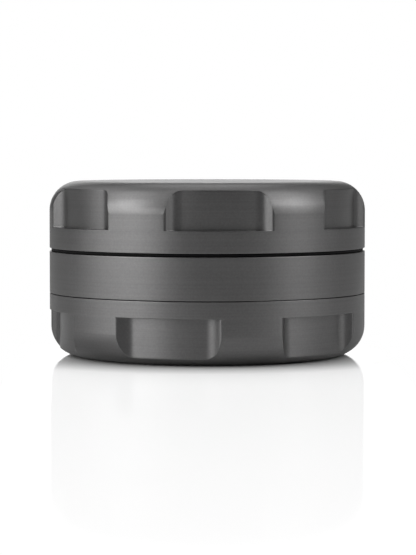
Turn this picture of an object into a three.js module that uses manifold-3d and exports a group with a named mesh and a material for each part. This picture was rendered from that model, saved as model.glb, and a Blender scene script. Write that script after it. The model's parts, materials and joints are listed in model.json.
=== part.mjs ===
// A hand-turned grinder for dried herbs and spices, in three stages that come apart: a lid, a grinding
// chamber and a storage cup. The lid lifts off and turns on a polymer slip ring, two ring magnets pull
// it down, and the chamber screws into the cup against a rubber seal.
//
// Millimetres, +Z up. The origin is the centre of the cup's underside, and the middle of one of the
// cup's grip pockets faces -Y.

import * as THREE from "three";
import { mergeVertices } from "three/addons/utils/BufferGeometryUtils.js";
import Module from "manifold-3d";

const wasm = await Module();
wasm.setup();

// ------------------------------------------------------------------------------ driving dimensions
const outerRadius = 31.5; // lid, chamber and cup are turned to one diameter
const edgeFillet = 5.8; // round edge of the lid's top and of the cup's foot
const edgeBreak = 0.15; // small chamfer on the turned edges at the two joint lines

const cupHeight = 12.375;
const seatGap = 0.15; // joint line between the cup and the chamber
const chamberBand = 8.275; // the chamber's height that shows between cup and lid
const lidGap = 0.6; // joint line between the chamber and the lid
const lidHeight = 13.2;
const lidRestTurn = 18.6; // degrees that the lid's pockets stand ahead of the cup's

const pocketCount = 6;
const pocketHalfAngle = 18.85; // degrees, at the outer radius
const pocketDepth = 2.0;
const pocketWallSlope = 52; // degrees between a pocket's end wall and its floor
const pocketCornerRadius = 3.1; // between the floor and each end wall
const lidPocketLedge = 4.2; // from the lid's lower edge up to the pockets' ledge
const cupPocketLedge = 9.15; // from the cup's foot up to the pockets' ledge

const plateThickness = 2.8;
const plateTop = 4.875; // above the chamber's seat
const chamberRadius = 24.6; // inside wall of the grinding space
const rimRadius = 26.7; // outside of the chamber's rim, which stands up inside the lid
const lidBoreRadius = 27.0;
const lidRoof = 3.2; // thickness of the lid's top
const roofClearance = 1.0; // between tooth tips and the roof or plate that they face

const sleeveRadius = 28.0; // outside of the slip ring's sleeve, which sits in the lid
const sleeveBore = 26.9;
const sleeveHeight = 4.0;
const slipFlangeRadius = 31.2;
const slipFlange = 0.5;

const neckRadius = 26.5; // root of the chamber's outside thread
const neckLength = 5.6;
const threadPitch = 1.5;
const threadDepth = 0.65;
const threadCrest = 0.4; // width of the ridge's crest
const threadFlank = 0.58; // how much wider the ridge grows for each millimetre below its crest
const threadTurns = 2.1;
const threadZero = -4.85; // height of the thread's lower end below the chamber's seat
const threadSideGap = 0.15; // between the flanks of ridge and groove
const threadTopGap = 0.3; // between the ridge's crest and the groove's floor
const boreGap = 0.25; // between the neck and the cup's bore
const mouthRadius = 27.7; // counterbore of the cup's mouth, where the seal sits
const mouthDepth = 1.1;
const sealSection = 1.0; // diameter of the seal's round section

const cupFloor = 1.8;
const cupCavityRadius = 25.4;
const cupCornerFillet = 3.5;
const footRecessRadius = 20.4;
const footRecess = 0.4;

const hubRadius = 7.2;
const chamberHubTop = 11.875; // above the chamber's seat
const lidHubBottom = 3.6; // above the lid's lower edge
const magnetRadius = 6.0;
const magnetThickness = 3.0;
const magnetBore = 1.7;
const magnetPocketRadius = 6.1;
const magnetPocketDepth = 3.1;
const screwLength = 7.0;
const screwRadius = 1.2;
const screwHeadRadius = 2.8;
const screwHeadHeight = 1.6;
const screwHoleRadius = 1.3;
const screwSocketRadius = 1.15; // across the corners of its hexagon
const screwSocketDepth = 1.1;
const tapDepth = 4.8; // of the screw holes, below the magnet pockets

const toothLength = 5.2; // along its ring
const toothWidth = 2.9; // across its ring
const toothTip = 1.4; // height of the bevelled tip
const toothTipShare = 0.45; // of the plan size that is left at the tip
// The teeth and drop holes stand in rings, each ring turned by some degrees from the piece's -Y.
const lidToothRings = [
  { radius: 11.3, count: 6, turn: 12 },
  { radius: 18.7, count: 9, turn: 2 },
];
const chamberToothRings = [
  { radius: 15.0, count: 9, turn: 20 },
  { radius: 22.4, count: 12, turn: 15 },
];
const dropHoleRings = [
  { radius: 10.9, count: 10, turn: 0, hole: 2.4 },
  { radius: 18.7, count: 18, turn: 0, hole: 2.2 },
];

// Facets round a full circle: sides that rub share one count, and small bores and screws use fewer.
const roundSides = 48;
const magnetSides = 24;
const smallSides = 12;
const holeSides = 10;
const filletSteps = 4;
const threadSides = 24;

// -------------------------------------------------------------------------------- derived heights
const chamberSeat = cupHeight + seatGap;
const lidSeat = chamberSeat + chamberBand + lidGap;
const pocketFloorRadius = outerRadius - pocketDepth;
const lidCeiling = lidHeight - lidRoof;
const rimTop = chamberBand + lidGap + lidCeiling - roofClearance;
const lidToothTips = chamberSeat + plateTop + roofClearance - lidSeat;

// -------------------------------------------------------------------------------------- materials
const anodised = new THREE.MeshStandardMaterial({ color: 0x55565a, metalness: 1.0, roughness: 0.42 });
const polymer = new THREE.MeshStandardMaterial({ color: 0x141416, metalness: 0.0, roughness: 0.5 });
const rubber = new THREE.MeshStandardMaterial({ color: 0x1b1b1c, metalness: 0.0, roughness: 0.8 });
const nickel = new THREE.MeshStandardMaterial({ color: 0xb9bbbe, metalness: 1.0, roughness: 0.18 });
const steel = new THREE.MeshStandardMaterial({ color: 0x8d8f92, metalness: 1.0, roughness: 0.3 });

// ---------------------------------------------------------------------------------- solid helpers
const radians = THREE.MathUtils.degToRad;
const polar = (radius, angle) => [radius * Math.cos(angle), radius * Math.sin(angle)];

// The outline of a turned piece in (radius, height), from a path whose arcs take filletSteps chords.
const outline = (path) => path.getPoints(filletSteps);

// A body of revolution about Z. Its first facet corner is at -Y.
function turned(points, sides = roundSides) {
  return new THREE.LatheGeometry(points, sides).rotateX(Math.PI / 2);
}

function solid(geometry) {
  const bare = geometry.clone();
  bare.deleteAttribute("normal");
  bare.deleteAttribute("uv");
  const merged = mergeVertices(bare, 1e-4);
  return new wasm.Manifold(
    new wasm.Mesh({
      numProp: 3,
      vertProperties: merged.attributes.position.array,
      triVerts: new Uint32Array(merged.index.array),
    }),
  );
}

function geometryOf(made) {
  const mesh = made.getMesh();
  return new THREE.BufferGeometry()
    .setAttribute("position", new THREE.BufferAttribute(mesh.vertProperties, 3))
    .setIndex(new THREE.BufferAttribute(mesh.triVerts, 1));
}

// The solids that make makes at equal steps round the axis, each turned into place from -Y.
function ring(count, turn, make) {
  return Array.from({ length: count }, (_, i) => {
    const geometry = make().rotateZ(radians(turn + (360 * i) / count));
    return solid(geometry);
  });
}

const joined = (body, pieces) => pieces.reduce((whole, piece) => whole.add(piece), body);
const cut = (body, pieces) => pieces.reduce((whole, piece) => whole.subtract(piece), body);

// ------------------------------------------------------------------------- features of the pieces
// The plan of a grip pocket at -Y: a floor concentric with the body, and a flat sloping wall at each
// end, with a round corner between them. The walls run on past the outer radius.
function pocketPlan() {
  const front = -Math.PI / 2;
  const edge = radians(pocketHalfAngle);
  const slope = radians(pocketWallSlope);
  const cornerReach = pocketFloorRadius + pocketCornerRadius;
  const facing = edge - slope; // the way that the wall faces, from the pocket's middle
  const floorHalf = facing + Math.acos((pocketCornerRadius + outerRadius * Math.cos(slope)) / cornerReach);
  const runOn = 5;
  const cornerAt = (way) => polar(cornerReach, front + way * floorHalf);
  const wallEnd = (way) => {
    const [x, y] = polar(outerRadius, front + way * edge);
    const [dx, dy] = polar(runOn, front + way * (facing + Math.PI / 2));
    return [x + dx, y + dy];
  };
  const plan = new THREE.Shape();
  plan.absarc(0, 0, pocketFloorRadius, front - floorHalf, front + floorHalf, false);
  plan.absarc(...cornerAt(1), pocketCornerRadius, front + floorHalf + Math.PI, front + facing + Math.PI, true);
  plan.lineTo(...wallEnd(1));
  plan.lineTo(...wallEnd(-1));
  plan.absarc(...cornerAt(-1), pocketCornerRadius, front - facing - Math.PI, front - floorHalf - Math.PI, true);
  return plan;
}

// Cutters for the grip pockets, from one height to another.
function pockets(low, high) {
  const settings = { depth: high - low, bevelEnabled: false, curveSegments: filletSteps };
  return ring(pocketCount, 0, () => new THREE.ExtrudeGeometry(pocketPlan(), settings).translate(0, 0, low));
}

// Teeth in rings: diamond posts that stand from root to tip, up or down.
function teeth(rings, root, tip) {
  const height = Math.abs(tip - root) + 0.5; // half a millimetre of root lies inside the plate
  const post = [
    new THREE.Vector2(0, 0),
    new THREE.Vector2(1, 0),
    new THREE.Vector2(1, height - toothTip),
    new THREE.Vector2(toothTipShare, height),
    new THREE.Vector2(0, height),
  ];
  const make = (radius) => () => {
    const tooth = turned(post, 4).scale(toothLength / 2, toothWidth / 2, 1);
    if (tip < root) tooth.rotateY(Math.PI);
    return tooth.translate(0, -radius, tip > root ? tip - height : tip + height);
  };
  return rings.flatMap(({ radius, count, turn }) => ring(count, turn, make(radius)));
}

// A helical ridge with a symmetric four-sided section, from one turn to another of a thread that is at
// height zero at -Y. It fades out at both ends to a point just inside its root.
function helix({ root, crest, sideGap, zero, from, to }) {
  const half = (radius) => sideGap + (threadCrest + (neckRadius + threadDepth - radius) * threadFlank) / 2;
  const section = [
    [root, -half(root)],
    [crest, -half(crest)],
    [crest, half(crest)],
    [root, half(root)],
    [root, -half(root)],
  ];
  const fadeRadius = root - 0.1;
  const steps = Math.round((to - from) * threadSides);
  const fadeSteps = threadSides / 8;
  const points = section.map(([radius, height]) => new THREE.Vector2(radius, height));
  const geometry = new THREE.LatheGeometry(points, steps);
  const position = geometry.attributes.position;
  for (let step = 0; step <= steps; step++) {
    const turn = from + step / threadSides;
    const angle = 2 * Math.PI * turn;
    const fade = Math.min(1, step / fadeSteps, (steps - step) / fadeSteps);
    section.forEach(([radius, height], corner) => {
      const r = fadeRadius + (radius - fadeRadius) * fade;
      const z = zero + threadPitch * turn + height * fade;
      position.setXYZ(step * section.length + corner, r * Math.sin(angle), -r * Math.cos(angle), z);
    });
  }
  return solid(geometry);
}

// A blind hole for a magnet's screw, from a magnet pocket's floor.
const screwHole = (floor, way) => [
  new THREE.Vector2(0, floor + way * tapDepth),
  new THREE.Vector2(screwHoleRadius, floor + way * tapDepth),
  new THREE.Vector2(screwHoleRadius, floor),
];

// ----------------------------------------------------------------------------------------- pieces
// The cup stands on z 0.
function storageCup() {
  const cavityWall = neckRadius + boreGap;
  const path = new THREE.Path()
    .moveTo(0, footRecess)
    .lineTo(footRecessRadius, footRecess)
    .lineTo(footRecessRadius + footRecess, 0)
    .lineTo(outerRadius - edgeFillet, 0)
    .absarc(outerRadius - edgeFillet, edgeFillet, edgeFillet, -Math.PI / 2, 0, false)
    .lineTo(outerRadius, cupHeight - edgeBreak)
    .lineTo(outerRadius - edgeBreak, cupHeight)
    .lineTo(mouthRadius, cupHeight)
    .lineTo(mouthRadius, cupHeight - mouthDepth)
    .lineTo(cavityWall, cupHeight - mouthDepth)
    .lineTo(cavityWall, cupHeight - neckLength - 0.3)
    .lineTo(cupCavityRadius, cupHeight - neckLength - 1.2)
    .lineTo(cupCavityRadius, cupFloor + cupCornerFillet)
    .absarc(cupCavityRadius - cupCornerFillet, cupFloor + cupCornerFillet, cupCornerFillet, 0, -Math.PI / 2, true)
    .lineTo(0, cupFloor);
  const groove = helix({
    root: cavityWall - 0.3,
    crest: neckRadius + threadDepth + threadTopGap,
    sideGap: threadSideGap,
    zero: chamberSeat + threadZero,
    from: -0.25,
    to: threadTurns + 0.8,
  });
  return cut(solid(turned(outline(path))), [...pockets(-1, cupPocketLedge), groove]);
}

// The chamber's z 0 is its seat on the cup; its threaded neck hangs below.
function grindingChamber() {
  const hubPocket = chamberHubTop - magnetPocketDepth;
  const path = new THREE.Path()
    .moveTo(0, plateTop - plateThickness)
    .lineTo(chamberRadius, plateTop - plateThickness)
    .lineTo(chamberRadius, -neckLength)
    .lineTo(neckRadius - 0.4, -neckLength)
    .lineTo(neckRadius, 0.4 - neckLength)
    .lineTo(neckRadius, 0)
    .lineTo(outerRadius - edgeBreak, 0)
    .lineTo(outerRadius, edgeBreak)
    .lineTo(outerRadius, chamberBand - edgeBreak)
    .lineTo(outerRadius - edgeBreak, chamberBand)
    .lineTo(rimRadius, chamberBand)
    .lineTo(rimRadius, rimTop - 0.3)
    .lineTo(rimRadius - 0.3, rimTop)
    .lineTo(chamberRadius, rimTop)
    .lineTo(chamberRadius, plateTop)
    .lineTo(hubRadius, plateTop)
    .lineTo(hubRadius, chamberHubTop)
    .lineTo(magnetPocketRadius, chamberHubTop)
    .lineTo(magnetPocketRadius, hubPocket);
  const points = [...outline(path), ...screwHole(hubPocket, -1).reverse()];
  const ridge = helix({
    root: neckRadius - 0.3,
    crest: neckRadius + threadDepth,
    sideGap: 0,
    zero: threadZero,
    from: 0,
    to: threadTurns,
  });
  const bodyWithTeeth = joined(solid(turned(points)), [ridge, ...teeth(chamberToothRings, plateTop, rimTop)]);
  const drill = (radius, hole) => () =>
    new THREE.CylinderGeometry(hole, hole, 3 * plateThickness, holeSides)
      .rotateX(Math.PI / 2)
      .translate(0, -radius, plateTop - plateThickness / 2);
  const holes = dropHoleRings.flatMap(({ radius, count, turn, hole }) => ring(count, turn, drill(radius, hole)));
  return cut(bodyWithTeeth, holes);
}

// The lid's z 0 is its lower edge; its outer ring of teeth hangs below that, inside the chamber.
function lid() {
  const hubPocket = lidHubBottom + magnetPocketDepth;
  const path = new THREE.Path()
    .moveTo(magnetPocketRadius, hubPocket)
    .lineTo(magnetPocketRadius, lidHubBottom)
    .lineTo(hubRadius, lidHubBottom)
    .lineTo(hubRadius, lidCeiling)
    .lineTo(lidBoreRadius, lidCeiling)
    .lineTo(lidBoreRadius, sleeveHeight + 0.1)
    .lineTo(sleeveRadius + 0.1, sleeveHeight + 0.1)
    .lineTo(sleeveRadius + 0.1, 0)
    .lineTo(outerRadius - edgeBreak, 0)
    .lineTo(outerRadius, edgeBreak)
    .lineTo(outerRadius, lidHeight - edgeFillet)
    .absarc(outerRadius - edgeFillet, lidHeight - edgeFillet, edgeFillet, 0, Math.PI / 2, false)
    .lineTo(0, lidHeight);
  const points = [...screwHole(hubPocket, 1), ...outline(path)];
  const body = cut(solid(turned(points)), pockets(lidPocketLedge, lidHeight + 1));
  return joined(body, teeth(lidToothRings, lidCeiling, lidToothTips));
}

// The slip ring's z 0 is the underside of its flange, which rides on the chamber's shoulder.
function slipRing() {
  const path = new THREE.Path()
    .moveTo(sleeveBore, 0)
    .lineTo(slipFlangeRadius, 0)
    .lineTo(slipFlangeRadius, slipFlange)
    .lineTo(sleeveRadius, slipFlange)
    .lineTo(sleeveRadius, slipFlange + sleeveHeight)
    .lineTo(sleeveBore, slipFlange + sleeveHeight)
    .lineTo(sleeveBore, 0);
  return turned(outline(path));
}

// A round rubber seal about its own centre.
function threadSeal() {
  const path = new THREE.Path().absarc(neckRadius + 0.6, 0, sealSection / 2, 0, 2 * Math.PI, false);
  return turned(path.getPoints(4));
}

// A ring magnet whose z 0 is its countersunk face. It lies below that face.
function ringMagnet() {
  const countersink = screwHeadHeight + 0.1;
  const path = new THREE.Path()
    .moveTo(magnetBore, -countersink)
    .lineTo(magnetBore, -magnetThickness)
    .lineTo(magnetRadius, -magnetThickness)
    .lineTo(magnetRadius, 0)
    .lineTo(screwHeadRadius + 0.3, 0)
    .lineTo(magnetBore, -countersink);
  return turned(outline(path), magnetSides);
}

// A countersunk screw with a hexagon socket. Its z 0 is the top of its head.
function magnetScrew() {
  const path = new THREE.Path()
    .moveTo(0, -screwLength)
    .lineTo(screwRadius, -screwLength)
    .lineTo(screwRadius, -screwHeadHeight)
    .lineTo(screwHeadRadius, -0.2)
    .lineTo(screwHeadRadius, 0)
    .lineTo(0, 0);
  const socket = new THREE.CylinderGeometry(screwSocketRadius, screwSocketRadius, 2 * screwSocketDepth, 6);
  return cut(solid(turned(outline(path), smallSides)), [solid(socket.rotateX(Math.PI / 2))]);
}

// --------------------------------------------------------------------------------------- assembly
function piece(name, made, material, z = 0) {
  const geometry = made.isBufferGeometry ? made : geometryOf(made);
  const mesh = new THREE.Mesh(geometry, material);
  mesh.name = name;
  mesh.position.z = z;
  return mesh;
}

const magnetFace = 0.05; // the magnets' faces and the screws' heads stand this far inside their hubs

const cupStage = new THREE.Group();
cupStage.add(piece("storage_cup", storageCup(), anodised));

const chamberStage = new THREE.Group();
chamberStage.position.z = chamberSeat;
chamberStage.add(
  piece("grinding_chamber", grindingChamber(), anodised),
  piece("thread_seal", threadSeal(), rubber, -sealSection / 2 - 0.03),
  piece("chamber_magnet", ringMagnet(), nickel, chamberHubTop - magnetFace),
  piece("chamber_magnet_screw", magnetScrew(), steel, chamberHubTop - magnetFace - 0.05),
);

const lidStage = new THREE.Group();
lidStage.position.z = lidSeat;
lidStage.rotation.z = radians(lidRestTurn);
const lidMagnet = piece("lid_magnet", ringMagnet(), nickel, lidHubBottom + magnetFace);
const lidMagnetScrew = piece("lid_magnet_screw", magnetScrew(), steel, lidHubBottom + magnetFace + 0.05);
lidMagnet.rotation.x = Math.PI;
lidMagnetScrew.rotation.x = Math.PI;
lidStage.add(
  piece("lid", lid(), anodised),
  piece("slip_ring", slipRing(), polymer, -slipFlange - 0.05),
  lidMagnet,
  lidMagnetScrew,
);

const grinder = new THREE.Group();
grinder.add(cupStage, chamberStage, lidStage);

export default grinder;
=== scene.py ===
"""The looks of a hand-turned herb grinder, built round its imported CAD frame.

Every piece of the CAD is stood for by a finer mesh in the same place: the milled lid and cup with their
grip pockets, the toothed chamber with its drop holes and thread, the slip ring, the seal, and the two
countersunk magnets with their screws. Shapes are worked out in millimetres and scaled at the end.
"""

import json
import math

import bmesh
import bpy
from mathutils import Matrix, Vector


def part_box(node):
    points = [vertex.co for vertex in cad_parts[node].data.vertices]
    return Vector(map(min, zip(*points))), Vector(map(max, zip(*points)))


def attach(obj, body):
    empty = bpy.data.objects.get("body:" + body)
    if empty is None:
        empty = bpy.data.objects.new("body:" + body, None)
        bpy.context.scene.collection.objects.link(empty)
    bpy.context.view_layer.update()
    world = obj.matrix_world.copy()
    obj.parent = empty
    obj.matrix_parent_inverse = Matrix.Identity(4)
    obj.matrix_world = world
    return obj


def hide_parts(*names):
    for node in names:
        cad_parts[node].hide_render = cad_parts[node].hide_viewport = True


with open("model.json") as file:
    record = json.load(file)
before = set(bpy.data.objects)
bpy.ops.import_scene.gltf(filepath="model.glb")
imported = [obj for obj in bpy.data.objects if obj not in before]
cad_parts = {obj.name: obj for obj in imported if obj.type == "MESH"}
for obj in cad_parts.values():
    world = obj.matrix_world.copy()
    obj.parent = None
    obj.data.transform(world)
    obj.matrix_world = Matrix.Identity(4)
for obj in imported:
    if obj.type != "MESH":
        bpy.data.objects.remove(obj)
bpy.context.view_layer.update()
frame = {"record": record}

MM = 0.001
TURN = 2 * math.pi
FRONT = -math.pi / 2


def millimetres(node):
    """The lowest and highest corners of a CAD node, in millimetres."""
    low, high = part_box(node)
    return low / MM, high / MM


# ------------------------------------------------------------------------------------- dimensions
# In millimetres and radians. Round features are given by their radius, and heights are from the ground.
cup_low, cup_high = millimetres("storage_cup")
chamber_low, chamber_high = millimetres("grinding_chamber")
lid_low, lid_high = millimetres("lid")
seal_low, seal_high = millimetres("thread_seal")
slip_low, slip_high = millimetres("slip_ring")

# The outside: flat ends, big fillets, and stages that meet at sharp, barely broken edges.
OUTER = cup_high.x
FILLET = 5.8
FLAT = OUTER - FILLET
FLAT_RINGS = (12, 24.0)  # rings of points on the flat ends, which keep their faces short
SEAT_BREAK = 0.06
JOINT = 0.15
BAND = 8.275
LID_HEIGHT = 13.2
CHAMBER_SEAT = cup_high.z + JOINT
CHAMBER_TOP = CHAMBER_SEAT + BAND
LID_SEAT = lid_high.z - LID_HEIGHT

# The grip pockets: the floor follows the outer wall, and flat end walls slope up from it.
POCKETS = 6
POCKET_DEPTH = 2.0
POCKET_FLOOR = OUTER - POCKET_DEPTH
POCKET_HALF = math.radians(18.85)
WALL_SLOPE = math.radians(52)
CORNER = 3.1
POCKET_EDGE = 0.75
CUP_LEDGE = 9.15  # where the cup's pockets stop, from its foot
LID_LEDGE = LID_HEIGHT - 4.2  # where the lid's pockets stop, from its top
LID_TURN = math.radians(18.6)

# The cup: a recessed foot, a rounded cavity, and a threaded bore with a wider mouth for the seal.
FOOT_RECESS = 0.4
FOOT_INNER = 20.8
CUP_FLOOR = 1.8
CAVITY = 25.4
CAVITY_FILLET = 3.5
BORE = 26.75
BORE_LOW = cup_high.z - 5.9
BORE_STEP = 0.9
MOUTH = 27.7
MOUTH_LOW = cup_high.z - 1.1

# The chamber: a neck that screws into the cup, a plate with teeth and drop holes, and a rim for the lid.
TOP_RELIEF = 0.1
TOP_RELIEF_WIDTH = 0.8
CHAMBER_WALL = 24.6
PLATE_TOP = CHAMBER_SEAT + 4.875
PLATE_LOW = PLATE_TOP - 2.8
RIM = 26.7
RIM_TOP = chamber_high.z
NECK = 26.5
NECK_LOW = chamber_low.z
NECK_CHAMFER = 0.35

# The lid's inside, where the slip ring's sleeve has a recess.
CEILING = lid_high.z - 3.2
LID_BORE = 27.0
SLEEVE_RECESS = 28.1
RECESS_TOP = LID_SEAT + 4.1

# The slip ring and the seal.
SLEEVE_INNER = 26.9
SLEEVE_OUTER = 28.0
FLANGE = 0.5
SEAL_CENTRE = NECK + 0.6
SEAL_RADIUS = 0.5  # of its round section

# The hubs on the plate and in the lid. Each has a magnet pocket, and a tapped hole for the screw.
HUB = 7.2
CHAMBER_HUB = CHAMBER_SEAT + 11.875
LID_HUB = LID_SEAT + 3.6
MAGNET_POCKET = 6.1
MAGNET_POCKET_DEPTH = 3.1
SCREW_HOLE = 1.3
TAP = 4.8
TAP_POINT = 0.5

# The ring magnets and their countersunk screws.
MAGNET_HOLE = 1.7
COUNTERSINK = 3.1
COUNTERSINK_DEPTH = 1.7
SHANK = 1.0
SHANK_POINT = (0.2, 0.3)  # how far the shank's end narrows, and over what length
SCREW_COLLAR = 1.2
SCREW_HEAD = 2.8
SCREW_HEAD_LAND = 0.2
SCREW_HEAD_DEPTH = 1.6
SOCKET = 1.15  # over its corners
SOCKET_DEPTH = 1.1
SCREW_CREST = 1.18
SCREW_PITCH = 0.45
SCREW_TURNS = 10
SCREW_RIDGE = 0.2  # half of the ridge's width at its root; its crest is a fifth as wide

# The thread between the cup and the chamber. Its groove in the cup is wider and longer than its ridge.
PITCH = 1.5
THREAD_DEPTH = 0.65
THREAD_CREST = 0.4
THREAD_FLANK = 0.58  # how much wider the ridge is for each millimetre towards its root
THREAD_EASE = 0.08
THREAD_TURNS = 2.1
THREAD_ZERO = CHAMBER_SEAT - 4.85
THREAD_SUNK = 0.3
GROOVE_GAP = 0.15
GROOVE_CREST_GAP = 0.3
GROOVE_SPAN = (-0.25, THREAD_TURNS + 0.8)

# The teeth are diamond posts with bevelled tips.
TOOTH_LENGTH = 5.2
TOOTH_WIDTH = 2.9
TOOTH_SUNK = 0.5
TOOTH_POINT_EASE = 0.5
TOOTH_SIDE_EASE = 0.3
TOOTH_TIP = 1.4
TOOTH_TAPER = (  # distance below the tip, share of the full width
    (TOOTH_TIP + 0.25, 1),
    (TOOTH_TIP - 0.02, 0.985),
    (TOOTH_TIP - 0.25, 0.9),
    (0.25, 0.54),
    (0.05, 0.45),
    (0, 0.38),
)
LID_TEETH = ((11.3, 6, 12), (18.7, 9, 2))  # radius, count, degrees from the stage's own front
CHAMBER_TEETH = ((15.0, 9, 20), (22.4, 12, 15))
DROP_HOLES = ((10.9, 10, 2.4), (18.7, 18, 2.2))  # radius, count, radius of each hole
HOLE_EASE = 0.2

# How finely the meshes are built, and what counts as one point.
COLUMNS = 240
SHARP = math.radians(34)
MERGE = 0.0015
COLLAPSE = 0.0005
HELIX_MERGE = 1e-4
HELIX_COLLAPSE = 1e-5
GUARD = 0.12  # how far outside an easing its ring of points lies
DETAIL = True


# ------------------------------------------------------------------------------------ mesh helpers
def finish_mesh(name, bm, flat_z=None):
    """A mesh object, in metres, from a bmesh in millimetres. flat_z is a pocketed stage's flat end."""
    bmesh.ops.recalc_face_normals(bm, faces=bm.faces)
    mark_wear(bm)
    if flat_z is not None:
        mark_pockets(bm, flat_z)
    mesh = bpy.data.meshes.new(name)
    bm.to_mesh(mesh)
    bm.free()
    mesh.transform(Matrix.Scale(MM, 4))
    mesh.polygons.foreach_set("use_smooth", [True] * len(mesh.polygons))
    mesh.set_sharp_from_angle(angle=SHARP)
    mesh.update()
    piece = bpy.data.objects.new(name, mesh)
    bpy.context.scene.collection.objects.link(piece)
    return piece


def mark_wear(bm, least_angle=0.08, least_length=1e-5, least_spacing=1e-3, rate=0.12):
    """Marks each vertex by how tight the outward curve there is, for the worn look of handled edges."""
    layer = bm.verts.layers.float.new("edge_wear")
    bm.normal_update()
    for edge in bm.edges:
        if len(edge.link_faces) != 2:
            continue
        angle = edge.calc_face_angle_signed(0.0)
        length = edge.calc_length()
        if angle < least_angle or length < least_length:
            continue
        spacing = sum(face.calc_area() for face in edge.link_faces) / (2 * length)
        worn = min(1.0, rate * angle / max(spacing, least_spacing))
        for vert in edge.verts:
            vert[layer] = max(vert[layer], worn)


def mark_pockets(bm, flat_z):
    """Marks the vertices of the grip pockets, which lie inside the turned outline of their stage, as
    milled, and grades them for painted shade: none on the floor, strongest at the top of the end walls."""
    milled = bm.verts.layers.float.new("milled")
    painted_wall_shade = bm.verts.layers.float.new("painted_wall_shade")
    below_floor, inside_outline = 0.1, 0.03
    floor_fade, least, growth = 0.13, 0.6, 0.7
    for vert in bm.verts:
        radius = vert.co.xy.length
        rise = min(FILLET, abs(vert.co.z - flat_z))
        outline = FLAT + math.sqrt(FILLET**2 - (FILLET - rise) ** 2)
        vert[milled] = float(POCKET_FLOOR - below_floor < radius < outline - inside_outline)
        height = max(0.0, (radius - POCKET_FLOOR) / (OUTER - POCKET_FLOOR))
        # Painted shade: this grade darkens the pocket walls in the material, standing in for shade in the
        # recess.
        vert[painted_wall_shade] = vert[milled] * min(1.0, height / floor_fade) * min(1.0, least + height * growth)


def grid(columns):
    """A closed surface from (angle, section) columns round the axis; a section runs axis to axis, or
    closes on itself."""
    bm = bmesh.new()
    rings = []
    for angle, section in columns:
        c, s = math.cos(angle), math.sin(angle)
        rings.append([bm.verts.new((r * c, r * s, z)) for r, z in section])
    for i, ring in enumerate(rings):
        after = rings[(i + 1) % len(rings)]
        for k in range(len(ring) - 1):
            bm.faces.new((ring[k], after[k], after[k + 1], ring[k + 1]))
    bmesh.ops.remove_doubles(bm, verts=bm.verts, dist=MERGE)
    bmesh.ops.dissolve_degenerate(bm, edges=bm.edges, dist=COLLAPSE)
    return bm


def turned(section, columns=COLUMNS):
    """A closed surface turned from one section."""
    return grid([(FRONT + TURN * i / columns, section) for i in range(columns)])


def rounded(path, steps=3):
    """A section with its corners eased: path holds (radius, height, how far the easing reaches). A ring
    of points close to each side of an easing keeps its shading off the straight parts."""
    most_reach, most_guard = 0.45, 0.49  # shares of the side, so that two corners never meet on it
    out = []
    for i, (r, z, size) in enumerate(path):
        here = Vector((r, z))
        if not size:
            out.append(here)
            continue
        sides = [Vector(path[i - 1][:2]) - here, Vector(path[i + 1][:2]) - here]
        reach = min([size] + [most_reach * side.length for side in sides])
        before, beyond = (
            here + side.normalized() * min(size + GUARD, most_guard * side.length) for side in sides
        )
        out += [before] + eased(here, *sides, reach, steps) + [beyond]
    return [(max(0.0, p.x), p.y) for p in out]


def eased(here, back, on, reach, steps):
    """The points of a corner that curves from reach back along one side to reach on along the other."""
    back, on = back.normalized() * reach, on.normalized() * reach
    return [here + back * (1 - k / steps) ** 2 + on * (k / steps) ** 2 for k in range(steps + 1)]


def tube(bm, rings):
    """Joins each ring of points to the next with a band of faces."""
    count = len(rings[0])
    for ring, after in zip(rings, rings[1:]):
        for k in range(count):
            bm.faces.new((ring[k], after[k], after[(k + 1) % count], ring[(k + 1) % count]))


def joined(bms):
    """One bmesh of several closed ones, kept apart."""
    whole = bmesh.new()
    for bm in bms:
        mesh = bpy.data.meshes.new("part")
        bm.to_mesh(mesh)
        bm.free()
        whole.from_mesh(mesh)
        bpy.data.meshes.remove(mesh)
    return whole


def combine(bm, tool, operation):
    """bm cut by, or united with, tool. Both are closed."""
    objects = []
    for source in (bm, tool):
        bmesh.ops.recalc_face_normals(source, faces=source.faces)
        mesh = bpy.data.meshes.new("boolean")
        source.to_mesh(mesh)
        source.free()
        obj = bpy.data.objects.new("boolean", mesh)
        bpy.context.scene.collection.objects.link(obj)
        objects.append(obj)
    modifier = objects[0].modifiers.new("cut", "BOOLEAN")
    modifier.operation = operation
    modifier.solver = "EXACT"
    modifier.object = objects[1]
    bpy.context.view_layer.update()
    shaped = objects[0].evaluated_get(bpy.context.evaluated_depsgraph_get())
    made = bpy.data.meshes.new_from_object(shaped)
    out = bmesh.new()
    out.from_mesh(made)
    bpy.data.meshes.remove(made)
    for obj in objects:
        mesh = obj.data
        bpy.data.objects.remove(obj)
        bpy.data.meshes.remove(mesh)
    return out


# ---------------------------------------------------------------------------------- shape features
def polar(radius, angle):
    """The point of the plan at a radius and an angle."""
    return Vector((radius * math.cos(angle), radius * math.sin(angle)))


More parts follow.
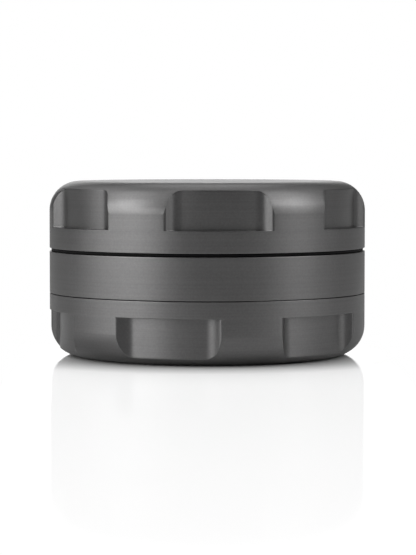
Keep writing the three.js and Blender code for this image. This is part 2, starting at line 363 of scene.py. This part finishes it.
def pocket_plan():
    """(angle, wall radius) across one grip pocket and half the land on each side, from the pocket's
    middle: a concentric floor, a round corner, a flat sloping wall and an eased edge with the land."""
    facing = POCKET_HALF - WALL_SLOPE
    wall_reach = OUTER * math.cos(WALL_SLOPE)
    floor_end = facing + math.acos((CORNER + wall_reach) / (POCKET_FLOOR + CORNER))
    edge_at = facing + math.acos((wall_reach - POCKET_EDGE) / (OUTER - POCKET_EDGE))
    corner, edge = polar(POCKET_FLOOR + CORNER, floor_end), polar(OUTER - POCKET_EDGE, edge_at)
    places = [polar(POCKET_FLOOR, floor_end * k / 9) for k in range(9)]
    places += [corner - polar(CORNER, floor_end + (facing - floor_end) * k / 9) for k in range(10)]
    top = edge + polar(POCKET_EDGE, facing)
    places += [places[-1].lerp(top, k / 3) for k in (1, 2)]
    places += [edge + polar(POCKET_EDGE, facing + (edge_at - facing) * k / 6) for k in range(7)]
    half = [(math.atan2(p.y, p.x), min(p.length, OUTER)) for p in places]
    last, step = half[-1][0], math.pi / POCKETS
    half += [(last + (step - last) * k / 8, OUTER) for k in range(1, 8)]
    return [(-a, r) for a, r in half[:0:-1]] + half + [(step, OUTER)]


def pocketed_side(wall, ledge, height, steps=12):
    """The outside of a stage from its flat end's edge to its joint, as (radius, distance from the flat
    end, easing), where the pocket's wall has a given radius."""
    meet = math.acos(min(1.0, (wall - FLAT) / FILLET))
    path = []
    for k in range(steps):
        t = math.pi / 2 + (meet - math.pi / 2) * k / steps
        path.append((FLAT + FILLET * math.cos(t), FILLET - FILLET * math.sin(t), 0))
    return path + [
        (wall, FILLET - FILLET * math.sin(meet), 0.1),
        (wall, ledge, 0.08),
        (OUTER, ledge, 0.06),
        (OUTER, height, SEAT_BREAK),
    ]


def pocketed(turn, ledge, height, flat_z, way, inside, flat_inside):
    """A stage with grip pockets. Its flat end is at flat_z, and its joint lies way from there."""
    columns = []
    for pocket in range(POCKETS):
        for angle, wall in pocket_plan():
            side = [(r, flat_z + way * d, e) for r, d, e in pocketed_side(wall, ledge, height)]
            path = flat_inside + side + inside
            columns.append((FRONT + turn + TURN * pocket / POCKETS + angle, rounded(path)))
    return grid(columns)


def helix(section, zero, start, end, per_turn=60, pitch=PITCH):
    """A closed ridge that follows a thread, from one turn to another; its ends shrink to points."""
    bm = bmesh.new()
    steps = round((end - start) * per_turn)
    fade_steps = per_turn / 8
    sunk = 0.1  # how far below its root the ridge is when it has faded
    fade_radius = min(r for r, _ in section) - sunk
    rings = []
    for step in range(steps + 1):
        turn = start + step / per_turn
        fade = min(1, step / fade_steps, (steps - step) / fade_steps)
        angle = FRONT + TURN * turn
        ring = []
        for r, z in section:
            radius = fade_radius + (r - fade_radius) * fade
            height = zero + pitch * turn + z * fade
            ring.append(bm.verts.new((radius * math.cos(angle), radius * math.sin(angle), height)))
        rings.append(ring)
    tube(bm, rings)
    bmesh.ops.remove_doubles(bm, verts=bm.verts, dist=HELIX_MERGE)
    bmesh.ops.dissolve_degenerate(bm, edges=bm.edges, dist=HELIX_COLLAPSE)
    return bm


def thread_section(root, crest, gap=0):
    """The section of the thread's ridge, with its crest eased, grown by a gap on its flanks."""

    def half(r):
        return gap + (THREAD_CREST + (NECK + THREAD_DEPTH - r) * THREAD_FLANK) / 2

    shoulder = crest - THREAD_EASE
    return [
        (root, -half(root)),
        (shoulder, -half(shoulder)),
        (crest, THREAD_EASE - half(crest)),
        (crest, half(crest) - THREAD_EASE),
        (shoulder, half(shoulder)),
        (root, half(root)),
    ]


def tooth(radius, angle, root, tip):
    """A diamond post with eased corners and a bevelled tip, its root sunk into what it stands on."""
    way = 1 if tip > root else -1
    corners = [
        (Vector((TOOTH_LENGTH / 2, 0)), TOOTH_POINT_EASE),
        (Vector((0, TOOTH_WIDTH / 2)), TOOTH_SIDE_EASE),
        (Vector((-TOOTH_LENGTH / 2, 0)), TOOTH_POINT_EASE),
        (Vector((0, -TOOTH_WIDTH / 2)), TOOTH_SIDE_EASE),
    ]
    plan = []
    for i, (here, reach) in enumerate(corners):
        plan += eased(here, corners[i - 1][0] - here, corners[(i + 1) % 4][0] - here, reach, 4)
    levels = [(root - TOOTH_SUNK * way, 1)] + [(tip - way * below, share) for below, share in TOOTH_TAPER]
    bm = bmesh.new()
    rings = [[bm.verts.new((p.x * share, p.y * share, z)) for p in plan] for z, share in levels]
    tube(bm, rings)
    bm.faces.new(rings[0])
    bm.faces.new(rings[-1])
    bm.transform(Matrix.Rotation(angle, 4, "Z") @ Matrix.Translation((0, -radius, 0)))
    return bm


def teeth(rings, turn, root, tip):
    """All the teeth of a stage, in rings of (radius, count, degrees)."""
    return joined(
        tooth(radius, turn + math.radians(phase) + TURN * i / count, root, tip)
        for radius, count, phase in rings
        for i in range(count)
    )


def drop_holes():
    """Cutters for the plate's drop holes, each eased at both faces and a millimetre too long each way."""
    holes = []
    for radius, count, hole in DROP_HOLES:
        flare = hole + HOLE_EASE + 1
        section = [
            (0, PLATE_LOW - 1),
            (flare, PLATE_LOW - 1),
            (hole, PLATE_LOW + HOLE_EASE),
            (hole, PLATE_TOP - HOLE_EASE),
            (flare, PLATE_TOP + 1),
            (0, PLATE_TOP + 1),
        ]
        for i in range(count):
            bm = turned(section, 32)
            place = Matrix.Rotation(TURN * i / count, 4, "Z") @ Matrix.Translation((0, -radius, 0))
            bm.transform(place)
            holes.append(bm)
    return joined(holes)


def hub_end(face, way):
    """The end of a hub's section with its magnet pocket and screw hole, from the face to the axis."""
    floor = face + way * MAGNET_POCKET_DEPTH
    return [
        (HUB, face, 0.2),
        (MAGNET_POCKET, face, 0.12),
        (MAGNET_POCKET, floor, 0.1),
        (SCREW_HOLE, floor, 0.08),
        (SCREW_HOLE, floor + way * TAP, 0.05),
        (0, floor + way * (TAP + TAP_POINT), 0),
    ]


# ------------------------------------------------------------------------------------------ pieces
def storage_cup():
    """The cup that holds what is ground: it is the stage that the grinder stands on."""
    inner_ring, outer_ring = FLAT_RINGS
    cavity_arc = [
        (
            CAVITY - CAVITY_FILLET + CAVITY_FILLET * math.cos(t),
            CUP_FLOOR + CAVITY_FILLET - CAVITY_FILLET * math.sin(t),
            0,
        )
        for t in (math.pi / 2 * k / 8 for k in range(1, 9))
    ]
    inside = [
        (MOUTH, cup_high.z, 0.12),
        (MOUTH, MOUTH_LOW, 0.08),
        (BORE, MOUTH_LOW, 0.12),
        (BORE, BORE_LOW, 0.1),
        (CAVITY, BORE_LOW - BORE_STEP, 0.2),
        (CAVITY, CUP_FLOOR + CAVITY_FILLET, 0),
        *cavity_arc,
        (inner_ring, CUP_FLOOR, 0),
        (0, CUP_FLOOR, 0),
    ]
    foot = [
        (0, FOOT_RECESS, 0),
        (inner_ring, FOOT_RECESS, 0),
        (FOOT_INNER - FOOT_RECESS, FOOT_RECESS, 0.12),
        (FOOT_INNER, cup_low.z, 0.12),
        (outer_ring, cup_low.z, 0),
    ]
    bm = pocketed(0, CUP_LEDGE, cup_high.z, cup_low.z, 1, inside, foot)
    if DETAIL:
        crest = NECK + THREAD_DEPTH + GROOVE_CREST_GAP
        groove = helix(thread_section(BORE - THREAD_SUNK, crest, GROOVE_GAP), THREAD_ZERO, *GROOVE_SPAN)
        bm = combine(bm, groove, "DIFFERENCE")
    return finish_mesh("grinder_cup", bm, cup_low.z)


def grinding_chamber():
    """The middle stage, turned from one billet, with its thread, teeth and drop holes."""
    section = [
        (0, PLATE_LOW, 0),
        (CHAMBER_WALL, PLATE_LOW, 0.4),
        (CHAMBER_WALL, NECK_LOW, 0.15),
        (NECK - NECK_CHAMFER, NECK_LOW, 0.1),
        (NECK, NECK_LOW + NECK_CHAMFER, 0.1),
        (NECK, CHAMBER_SEAT, 0.08),
        (OUTER, CHAMBER_SEAT, SEAT_BREAK),
        (OUTER, CHAMBER_TOP - TOP_RELIEF, SEAT_BREAK),
        (OUTER - TOP_RELIEF_WIDTH, CHAMBER_TOP, 0),
        (RIM, CHAMBER_TOP, 0.15),
        (RIM, RIM_TOP, 0.35),
        (CHAMBER_WALL, RIM_TOP, 0.35),
        (CHAMBER_WALL, PLATE_TOP, 0.6),
        (HUB, PLATE_TOP, 0.6),
    ] + hub_end(CHAMBER_HUB, -1)
    bm = turned(rounded(section))
    if DETAIL:
        ridge = thread_section(NECK - THREAD_SUNK, NECK + THREAD_DEPTH)
        thread = helix(ridge, THREAD_ZERO, 0, THREAD_TURNS)
        posts = teeth(CHAMBER_TEETH, 0, PLATE_TOP, RIM_TOP)
        bm = combine(bm, joined([thread, posts]), "UNION")
        bm = combine(bm, drop_holes(), "DIFFERENCE")
    return finish_mesh("grinder_chamber", bm)


def lid():
    """The upper stage, with teeth that hang between the chamber's."""
    inside = [
        (SLEEVE_RECESS, LID_SEAT, 0.15),
        (SLEEVE_RECESS, RECESS_TOP, 0.08),
        (LID_BORE, RECESS_TOP, 0.12),
        (LID_BORE, CEILING, 0.5),
        (HUB, CEILING, 0.5),
    ] + hub_end(LID_HUB, 1)
    top = [(r, lid_high.z, 0) for r in (0, *FLAT_RINGS)]
    bm = pocketed(LID_TURN, LID_LEDGE, LID_HEIGHT, lid_high.z, -1, inside, top)
    if DETAIL:
        bm = combine(bm, teeth(LID_TEETH, LID_TURN, CEILING, lid_low.z), "UNION")
    return finish_mesh("grinder_lid", bm, lid_high.z)


def slip_ring():
    """A thin flange between the lid and the chamber, and a sleeve round the chamber's rim."""
    flange_top = slip_low.z + FLANGE
    section = [
        (SLEEVE_INNER, slip_low.z, 0),
        (slip_high.x, slip_low.z, 0.12),
        (slip_high.x, flange_top, 0.12),
        (SLEEVE_OUTER, flange_top, 0.1),
        (SLEEVE_OUTER, slip_high.z, 0.15),
        (SLEEVE_INNER, slip_high.z, 0.15),
        (SLEEVE_INNER, slip_low.z, 0),
    ]
    return finish_mesh("grinder_slip_ring", turned(rounded(section)))


def thread_seal():
    """A rubber ring round the top of the chamber's neck."""
    centre = Vector((SEAL_CENTRE, (seal_low.z + seal_high.z) / 2))
    section = [tuple(centre + polar(SEAL_RADIUS, TURN * k / 24)) for k in range(25)]
    return finish_mesh("grinder_seal", turned(section, 180))


def magnet(name, node, way):
    """A countersunk ring magnet; its countersunk face looks way."""
    low, high = millimetres(node)
    face, back = (high.z, low.z) if way > 0 else (low.z, high.z)
    sink = (MAGNET_HOLE, face - way * COUNTERSINK_DEPTH, 0)
    section = [
        sink,
        (MAGNET_HOLE, back, 0.1),
        (high.x, back, 0.3),
        (high.x, face, 0.3),
        (COUNTERSINK, face, 0.12),
        sink,
    ]
    return finish_mesh(name, turned(rounded(section), 96))


def screw(name, node, way):
    """A countersunk screw with a hexagon socket; its head looks way."""
    low, high = millimetres(node)
    top, end = (high.z, low.z) if way > 0 else (low.z, high.z)
    narrowing, point = SHANK_POINT
    section = [
        (0, end, 0),
        (SHANK - narrowing, end, 0.1),
        (SHANK, end + way * point, 0.1),
        (SHANK, top - way * (SCREW_HEAD_DEPTH + 0.15), 0.1),
        (SCREW_COLLAR, top - way * SCREW_HEAD_DEPTH, 0.1),
        (SCREW_HEAD, top - way * SCREW_HEAD_LAND, 0.08),
        (SCREW_HEAD, top, 0.08),
        (0, top, 0),
    ]
    bm = turned(rounded(section), 48)
    socket = [
        (0, top - way * (SOCKET_DEPTH + 0.3)),
        (SOCKET, top - way * SOCKET_DEPTH),
        (SOCKET, top - way * 0.08),
        (SOCKET + 0.25, top + way * 0.2),
        (0, top + way * 0.2),
    ]
    bm = combine(bm, turned(socket, 6), "DIFFERENCE")
    if DETAIL:
        ridge = [
            (SHANK - 0.1, -SCREW_RIDGE),
            (SCREW_CREST, -SCREW_RIDGE / 5),
            (SCREW_CREST, SCREW_RIDGE / 5),
            (SHANK - 0.1, SCREW_RIDGE),
        ]
        start = min(end, top - way * (SCREW_HEAD_DEPTH + 0.3)) + SCREW_PITCH
        thread = helix(ridge, start, 0, SCREW_TURNS, 24, SCREW_PITCH)
        bm = combine(bm, thread, "UNION")
    return finish_mesh(name, bm)


# --------------------------------------------------------------------------------------- materials
def grey(value):
    return (value, value, value, 1)


class Nodes:
    """A small helper to write the nodes of a material or a world as nested calls."""

    def __init__(self, owner):
        owner.use_nodes = True
        self.owner = owner
        self.tree = owner.node_tree

    def add(self, kind, **settings):
        node = self.tree.nodes.new("ShaderNode" + kind)
        for key, value in settings.items():
            setattr(node, key, value)
        return node

    def link(self, source, target):
        """Links a socket to an input, or sets the input to a plain value."""
        if isinstance(source, (int, float, tuple)):
            target.default_value = source
        else:
            self.tree.links.new(source, target)

    def math(self, operation, a, b=0.0):
        node = self.add("Math", operation=operation)
        self.link(a, node.inputs[0])
        self.link(b, node.inputs[1])
        return node.outputs[0]

    def along(self, vector, way):
        """How far a vector reaches along a direction."""
        node = self.add("VectorMath", operation="DOT_PRODUCT")
        self.link(vector, node.inputs[0])
        self.link(tuple(way), node.inputs[1])
        return node.outputs["Value"]

    def noise(self, vector, scale, detail=2.0, rough=0.5):
        node = self.add("TexNoise")
        self.link(vector, node.inputs["Vector"])
        node.inputs["Scale"].default_value = scale
        node.inputs["Detail"].default_value = detail
        node.inputs["Roughness"].default_value = rough
        return node.outputs[0]

    def remap(self, value, low, high, to_low, to_high, shape="LINEAR"):
        node = self.add("MapRange", interpolation_type=shape)
        self.link(value, node.inputs[0])
        for socket, number in zip(node.inputs[1:5], (low, high, to_low, to_high)):
            socket.default_value = number
        return node.outputs[0]

    def spread(self, noise, to_low, to_high):
        """A noise, whose values lie mostly from 0.3 to 0.7, spread over another range."""
        return self.remap(noise, 0.3, 0.7, to_low, to_high)

    def mix(self, share, a, b):
        """The colour a turned into b by a share."""
        node = self.add("Mix", data_type="RGBA")
        self.link(share, node.inputs[0])
        self.link(a, node.inputs[6])
        self.link(b, node.inputs[7])
        return node.outputs[2]

    def blend(self, share, a, b):
        """The shader a turned into b by a share."""
        node = self.add("MixShader")
        self.link(share, node.inputs[0])
        self.link(a, node.inputs[1])
        self.link(b, node.inputs[2])
        return node.outputs[0]

    def shader(self, kind, color, **values):
        node = self.add(kind)
        self.link(color, node.inputs["Color"])
        for key, value in values.items():
            self.link(value, node.inputs[key])
        return node.outputs[0]

    def bump(self, height, distance, strength, normal=None):
        node = self.add("Bump")
        node.inputs["Strength"].default_value = strength
        node.inputs["Distance"].default_value = distance
        self.link(height, node.inputs["Height"])
        if normal:
            self.link(normal, node.inputs["Normal"])
        return node.outputs[0]

    def attribute(self, name):
        return self.add("Attribute", attribute_name=name).outputs["Fac"]

    def camera_ray(self):
        """One where the camera sees the surface itself, and nought in reflections and for light."""
        return self.add("LightPath").outputs["Is Camera Ray"]

    def place(self):
        """Object space position, distance from the axis, and (distance from the axis, height)."""
        position = self.add("TexCoord").outputs["Object"]
        parts = self.add("SeparateXYZ")
        self.link(position, parts.inputs[0])
        x, y, z = parts.outputs
        squares = self.math("ADD", self.math("MULTIPLY", x, x), self.math("MULTIPLY", y, y))
        away = self.math("SQRT", squares)
        lathe = self.add("CombineXYZ")
        self.link(away, lathe.inputs[0])
        self.link(z, lathe.inputs[1])
        return position, away, lathe.outputs[0]

    def surface(self, shader):
        """Shows a shader as the material or the world, which is handed back."""
        self.link(shader, self.tree.get_output_node("ALL").inputs["Surface"])
        return self.owner

    def principled(self, **values):
        """Sets the material's own shader, and hands back the material."""
        for key, value in values.items():
            self.link(value, self.tree.nodes["Principled BSDF"].inputs[key.replace("_", " ")])
        return self.owner


def anodised():
    """Bead-blasted aluminium, anodised dark grey: a satin skin with a fine grain, faint turning lines,
    slightly lighter edges where hands have rubbed it, smoother pockets, and painted shade on the pocket
    walls."""
    n = Nodes(bpy.data.materials.new("anodised_dark_grey"))
    position, _, lathe = n.place()
    grain = n.noise(position, 5200, 3.0, 0.6)
    speckle = n.noise(position, 2600, 2.0, 0.6)
    cloud = n.noise(position, 90, 3.0, 0.55)
    lines = n.noise(lathe, 3600, 3.0, 0.65)
    rubbing = n.remap(n.noise(position, 420, 3.0), 0.35, 0.7, 0.15, 1.0)
    worn = n.math("MULTIPLY", n.attribute("edge_wear"), rubbing)
    tone = n.math("ADD", n.spread(speckle, -0.05, 0.05), n.spread(cloud, -0.025, 0.025))
    tone = n.remap(n.math("ADD", tone, n.spread(lines, -0.05, 0.05)), -0.15, 0.15, 0.0, 1.0)
    base = n.mix(tone, (0.150, 0.149, 0.150, 1), (0.215, 0.213, 0.212, 1))
    # Painted shade: the pocket walls are darkened towards black, by up to a quarter, by the pocket grade.
    base = n.mix(n.math("MULTIPLY", n.attribute("painted_wall_shade"), 0.25), base, grey(0))
    polish = n.math("MULTIPLY", n.attribute("milled"), 0.05)
    smooth = n.math("ADD", n.math("MULTIPLY", worn, 0.08), polish)
    return n.principled(
        Base_Color=n.mix(n.math("MULTIPLY", worn, 0.15), base, grey(0.42)),
        Metallic=1.0,
        Roughness=n.math("SUBTRACT", n.spread(cloud, 0.37, 0.43), smooth),
        Normal=n.bump(grain, 0.00002, 0.28, n.bump(lines, 0.00001, 0.18)),
    )


def polymer():
    """Black low-friction polymer, turned: faint rings and a soft sheen."""
    n = Nodes(bpy.data.materials.new("polymer_black"))
    position, _, lathe = n.place()
    rings = n.noise(lathe, 6000, 2.0)
    return n.principled(
        Base_Color=n.mix(n.noise(position, 700), (0.003, 0.003, 0.0033, 1), (0.006, 0.006, 0.0065, 1)),
        Roughness=n.spread(rings, 0.55, 0.70),
        Specular_IOR_Level=0.12,
        Normal=n.bump(rings, 0.00002, 0.3),
    )


def rubber():
    """Black moulded rubber with a dusty bloom."""
    n = Nodes(bpy.data.materials.new("seal_rubber_black"))
    position, _, _ = n.place()
    bloom = n.noise(position, 900, 4.0, 0.6)
    return n.principled(
        Base_Color=n.mix(bloom, grey(0.008), grey(0.022)),
        Roughness=n.spread(bloom, 0.65, 0.85),
        Normal=n.bump(n.noise(position, 4000), 0.00002, 0.3),
    )


def nickel():
    """Nickel plate on a sintered magnet: bright, with a slight orange peel and handling haze."""
    n = Nodes(bpy.data.materials.new("nickel_plate"))
    position, _, _ = n.place()
    haze = n.noise(position, 260, 4.0, 0.6)
    return n.principled(
        Base_Color=n.mix(n.attribute("edge_wear"), (0.60, 0.59, 0.57, 1), (0.72, 0.71, 0.69, 1)),
        Metallic=1.0,
        Roughness=n.spread(haze, 0.12, 0.26),
        Normal=n.bump(n.noise(position, 1400, 1.0), 0.00002, 0.12),
    )


def steel():
    """A stainless screw with turned rings on its head."""
    n = Nodes(bpy.data.materials.new("screw_steel"))
    position, _, lathe = n.place()
    rings = n.noise(lathe, 9000, 2.0)
    return n.principled(
        Base_Color=n.mix(n.noise(position, 900, 3.0), (0.38, 0.38, 0.385, 1), grey(0.50)),
        Metallic=1.0,
        Roughness=n.spread(rings, 0.22, 0.36),
        Normal=n.bump(rings, 0.00001, 0.25),
    )


# ---------------------------------------------------------------------------------------- assembly
BODY = {node: body for body, nodes in frame["record"]["behaviour"]["bodies"].items() for node in nodes}


def stand_for(node, piece, material):
    """Shows a piece in place of its CAD node, on the same body."""
    piece.data.materials.clear()
    piece.data.materials.append(material)
    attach(piece, BODY[node])
    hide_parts(node)


metal = anodised()
stand_for("storage_cup", storage_cup(), metal)
stand_for("grinding_chamber", grinding_chamber(), metal)
stand_for("lid", lid(), metal)
stand_for("slip_ring", slip_ring(), polymer())
stand_for("thread_seal", thread_seal(), rubber())
plate, bolt = nickel(), steel()
for stage, way in (("chamber", 1), ("lid", -1)):
    magnet_node, screw_node = stage + "_magnet", stage + "_magnet_screw"
    stand_for(magnet_node, magnet("grinder_" + magnet_node, magnet_node, way), plate)
    stand_for(screw_node, screw("grinder_" + screw_node, screw_node, way), bolt)


# ------------------------------------------------------------------------- floor, light and camera
# From here on in metres.
VIEW = math.radians(14.25)  # the camera stands this far round from the front, towards +X
TO_CAMERA = Vector((math.sin(VIEW), -math.cos(VIEW), 0))
TO_RIGHT = Vector((math.cos(VIEW), math.sin(VIEW), 0))
CAMERA_AWAY = 0.4527
CAMERA_HEIGHT = 0.0408
CAMERA_PITCH = math.radians(3.233)
CAMERA_LENS = 146.66
CAMERA_SHIFT = 0.0014

# Softboxes stand on a dome round the object: bearing from the camera, elevation, and power in watts.
DOME = 0.8
DOME_MIDDLE = Vector((0, 0, 0.018))
SOFTBOX_SIDE = 0.36
SOFTBOXES = (
    (-65, 32, 1.60),
    (-65, 8, 0.87),
    (-45, 8, 1.00),
    (-85, 8, 0.52),
    (-90, 56, 0.85),
    (-38, 52, 0.26),
    (65, 32, 1.22),
    (85, 32, 0.46),
    (65, 8, 0.56),
    (85, 8, 0.12),
    (90, 56, 0.77),
    (44, 50, 0.22),
    (-135, 45, 0.32),
    (135, 48, 0.13),
    (180, 56, 0.50),
    (0, 88, 0.40),
    (-177, 8, 0.67),
)

# The grey round the object, lighter at the back. SURROUND_REACH runs from -1, straight towards the
# camera, to 1, straight away from it.
SURROUND_REACH = (-0.4, 0.6)
SURROUND_GREY = (0.058, 0.156)

# The floor mirrors a share of what it faces, and to the camera more near the foot. Plain white takes over
# away from the axis and, to the camera, behind the object and beside it.
FLOOR_RADIUS = 3.0
FLOOR_DROP = 0.02 * MM  # keeps the floor clear of the foot
MIRROR_ROUGHNESS = 0.06
MIRROR_SHARE = 0.08
SHEEN_REACH = (0.024, 0.047)
SHEEN_SHARE = (0.67, 0.085)
WHITE_AWAY = (0.085, 0.25)
WHITE_BEHIND = (-0.022, 0.0)
WHITE_BESIDE = (0.032, 0.036)


def around(degrees, away, height):
    """A place by its bearing from the camera's own, positive to the right of the picture."""
    angle = VIEW + math.radians(degrees)
    return Vector((math.sin(angle) * away, -math.cos(angle) * away, height))


def softbox(bearing, elevation, power):
    light = bpy.data.lights.new("softbox", "AREA")
    light.shape = "SQUARE"
    light.size = SOFTBOX_SIDE
    light.energy = power
    lamp = bpy.data.objects.new("softbox", light)
    lift = math.radians(elevation)
    lamp.location = DOME_MIDDLE + around(bearing, DOME * math.cos(lift), DOME * math.sin(lift))
    lamp.rotation_euler = (DOME_MIDDLE - lamp.location).to_track_quat("-Z", "Y").to_euler()
    bpy.context.scene.collection.objects.link(lamp)


def studio_world():
    """White to the camera. The object sees grey all round, lighter behind it than in front."""
    n = Nodes(bpy.data.worlds.new("studio"))
    incoming = n.add("NewGeometry").outputs["Incoming"]
    surround = n.remap(n.along(incoming, TO_CAMERA), *SURROUND_REACH, *SURROUND_GREY)
    lit, seen = n.shader("Background", surround), n.shader("Background", grey(1))
    return n.surface(n.blend(n.camera_ray(), lit, seen))


def floor_white():
    """Pale, with a mirror sheen at the object's foot, and plain white where no mirror image of the object
    can lie."""
    n = Nodes(bpy.data.materials.new("floor_white"))
    place, away, _ = n.place()
    seen = n.camera_ray()
    matte = n.shader("BsdfDiffuse", n.mix(seen, grey(0.7), grey(1.26)))
    mirror = n.shader("BsdfGlossy", grey(0.8), Roughness=MIRROR_ROUGHNESS)
    white = n.shader("Emission", n.mix(seen, grey(0.45), grey(1)))
    sheen = n.remap(away, *SHEEN_REACH, *SHEEN_SHARE, "SMOOTHSTEP")
    near = n.blend(n.math("ADD", MIRROR_SHARE, n.math("MULTIPLY", seen, sheen)), matte, mirror)
    behind = n.remap(n.along(place, TO_CAMERA), *WHITE_BEHIND, 1.0, 0.0)
    beside = n.remap(n.math("ABSOLUTE", n.along(place, TO_RIGHT)), *WHITE_BESIDE, 0.0, 1.0)
    clean = n.math("MULTIPLY", seen, n.math("MAXIMUM", behind, beside))
    far = n.remap(away, *WHITE_AWAY, 0.0, 1.0)
    return n.surface(n.blend(n.math("MAXIMUM", clean, far), near, white))


def studio_floor():
    bm = bmesh.new()
    bmesh.ops.create_circle(bm, cap_ends=True, segments=64, radius=FLOOR_RADIUS)
    mesh = bpy.data.meshes.new("floor")
    bm.to_mesh(mesh)
    bm.free()
    mesh.materials.append(floor_white())
    floor = bpy.data.objects.new("floor", mesh)
    floor.location.z = -FLOOR_DROP
    bpy.context.scene.collection.objects.link(floor)


def studio_camera():
    lens = bpy.data.cameras.new("camera")
    lens.lens = CAMERA_LENS
    lens.shift_x = CAMERA_SHIFT
    camera = bpy.data.objects.new("camera", lens)
    camera.location = around(0, CAMERA_AWAY, CAMERA_HEIGHT)
    camera.rotation_euler = (math.pi / 2 - CAMERA_PITCH, 0, VIEW)
    bpy.context.scene.collection.objects.link(camera)
    return camera


for box in SOFTBOXES:
    softbox(*box)
bpy.context.scene.world = studio_world()
studio_floor()
bpy.context.scene.camera = studio_camera()
bpy.context.scene.view_settings.view_transform = "Standard"
